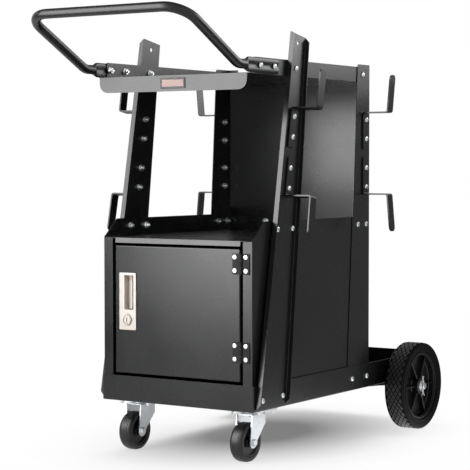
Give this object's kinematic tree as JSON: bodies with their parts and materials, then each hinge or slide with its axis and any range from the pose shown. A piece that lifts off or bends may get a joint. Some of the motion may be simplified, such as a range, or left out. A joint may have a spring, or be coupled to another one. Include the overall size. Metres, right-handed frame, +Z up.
{
  "type": "welding cart",
  "caption": "Sheet-metal welding cart with a lockable cabinet, open shelf bay, top tray, rear gas-cylinder platform, cable hooks, push handle, swivel casters and rear wheels.",
  "frame": {"origin": "on the floor, under the middle of the whole cart from the grip to the rear of the base", "axes": "+X to the right seen from the door side, +Y to the rear, from the push handle to the cylinder platform, +Z up"},
  "size_m": [0.4908, 0.9625, 0.8634],
  "materials": {
    "powder_coat": "black satin powder coat on steel sheet and tube",
    "zinc_plate": "bright zinc plating",
    "satin_nickel": "satin nickel plating",
    "tyre_rubber": "moulded black rubber",
    "moulded_plastic": "moulded black plastic",
    "badge_face": "blank painted plate with a dark border"
  },
  "bodies": {
    "frame": {"base_tray": "powder_coat", "back_panel": "powder_coat", "shelf_tray": "powder_coat", "top_tray": "powder_coat", "push_handle": "powder_coat", "left_side_panel": "powder_coat", "rear_left_post": "powder_coat", "front_left_post": "powder_coat", "left_axle_bracket": "powder_coat", "hook_front_left_upper": "powder_coat", "hook_front_left_lower": "powder_coat", "left_handle_bolt_front": "zinc_plate", "hook_rear_left_upper": "powder_coat", "hook_rear_left_lower": "powder_coat", "left_handle_bolt_rear": "zinc_plate", "left_axle_spacer": "zinc_plate", "left_wheel_washer": "zinc_plate", "left_split_pin": "zinc_plate", "left_caster_plate": "zinc_plate", "left_caster_kingpin": "zinc_plate", "right_side_panel": "powder_coat", "rear_right_post": "powder_coat", "front_right_post": "powder_coat", "right_axle_bracket": "powder_coat", "hook_front_right_upper": "powder_coat", "hook_front_right_lower": "powder_coat", "right_handle_bolt_front": "zinc_plate", "hook_rear_right_upper": "powder_coat", "hook_rear_right_lower": "powder_coat", "right_handle_bolt_rear": "zinc_plate", "right_axle_spacer": "zinc_plate", "right_wheel_washer": "zinc_plate", "right_split_pin": "zinc_plate", "right_caster_plate": "zinc_plate", "right_caster_kingpin": "zinc_plate", "rear_axle": "zinc_plate", "upper_hinge_pin": "zinc_plate", "lower_hinge_pin": "zinc_plate", "upper_hinge_frame_leaf": "powder_coat", "lower_hinge_frame_leaf": "powder_coat", "badge_plate": "badge_face"},
    "door": {"door": "powder_coat", "latch_plate": "satin_nickel", "upper_hinge_door_leaf": "powder_coat", "lower_hinge_door_leaf": "powder_coat"},
    "lock": {"lock_cylinder": "satin_nickel", "lock_cam": "zinc_plate"},
    "left_caster": {"left_caster_fork": "zinc_plate", "left_caster_bolt": "zinc_plate"},
    "left_caster_wheel": {"left_caster_hub": "moulded_plastic", "left_caster_tyre": "tyre_rubber"},
    "left_wheel": {"left_wheel_rim": "moulded_plastic", "left_wheel_tyre": "tyre_rubber"},
    "right_caster": {"right_caster_fork": "zinc_plate", "right_caster_bolt": "zinc_plate"},
    "right_caster_wheel": {"right_caster_hub": "moulded_plastic", "right_caster_tyre": "tyre_rubber"},
    "right_wheel": {"right_wheel_rim": "moulded_plastic", "right_wheel_tyre": "tyre_rubber"}
  },
  "joints": [
    {"name": "door_hinge", "type": "hinge", "parent": "frame", "child": "door", "pos_m": [0.1517, -0.24415, 0.29015], "axis": [0, 0, 1], "range_deg": [0, 180]},
    {"name": "lock_turn", "type": "hinge", "parent": "door", "child": "lock", "pos_m": [-0.1162, -0.24465, 0.26615], "axis": [0, 1, 0], "range_deg": [0, 90]},
    {"name": "left_caster_swivel", "type": "hinge", "parent": "frame", "child": "left_caster", "pos_m": [-0.133, -0.17565, 0.09315], "axis": [0, 0, 1], "continuous": true},
    {"name": "left_caster_wheel_spin", "type": "hinge", "parent": "left_caster", "child": "left_caster_wheel", "pos_m": [-0.133, -0.19865, 0.03842], "axis": [1, 0, 0], "continuous": true},
    {"name": "left_wheel_spin", "type": "hinge", "parent": "frame", "child": "left_wheel", "pos_m": [-0.214, 0.34935, 0.09355], "axis": [1, 0, 0], "continuous": true},
    {"name": "right_caster_swivel", "type": "hinge", "parent": "frame", "child": "right_caster", "pos_m": [0.133, -0.17565, 0.09315], "axis": [0, 0, 1], "continuous": true},
    {"name": "right_caster_wheel_spin", "type": "hinge", "parent": "right_caster", "child": "right_caster_wheel", "pos_m": [0.133, -0.19865, 0.03842], "axis": [1, 0, 0], "continuous": true},
    {"name": "right_wheel_spin", "type": "hinge", "parent": "frame", "child": "right_wheel", "pos_m": [0.214, 0.34935, 0.09355], "axis": [1, 0, 0], "continuous": true}
  ]
}
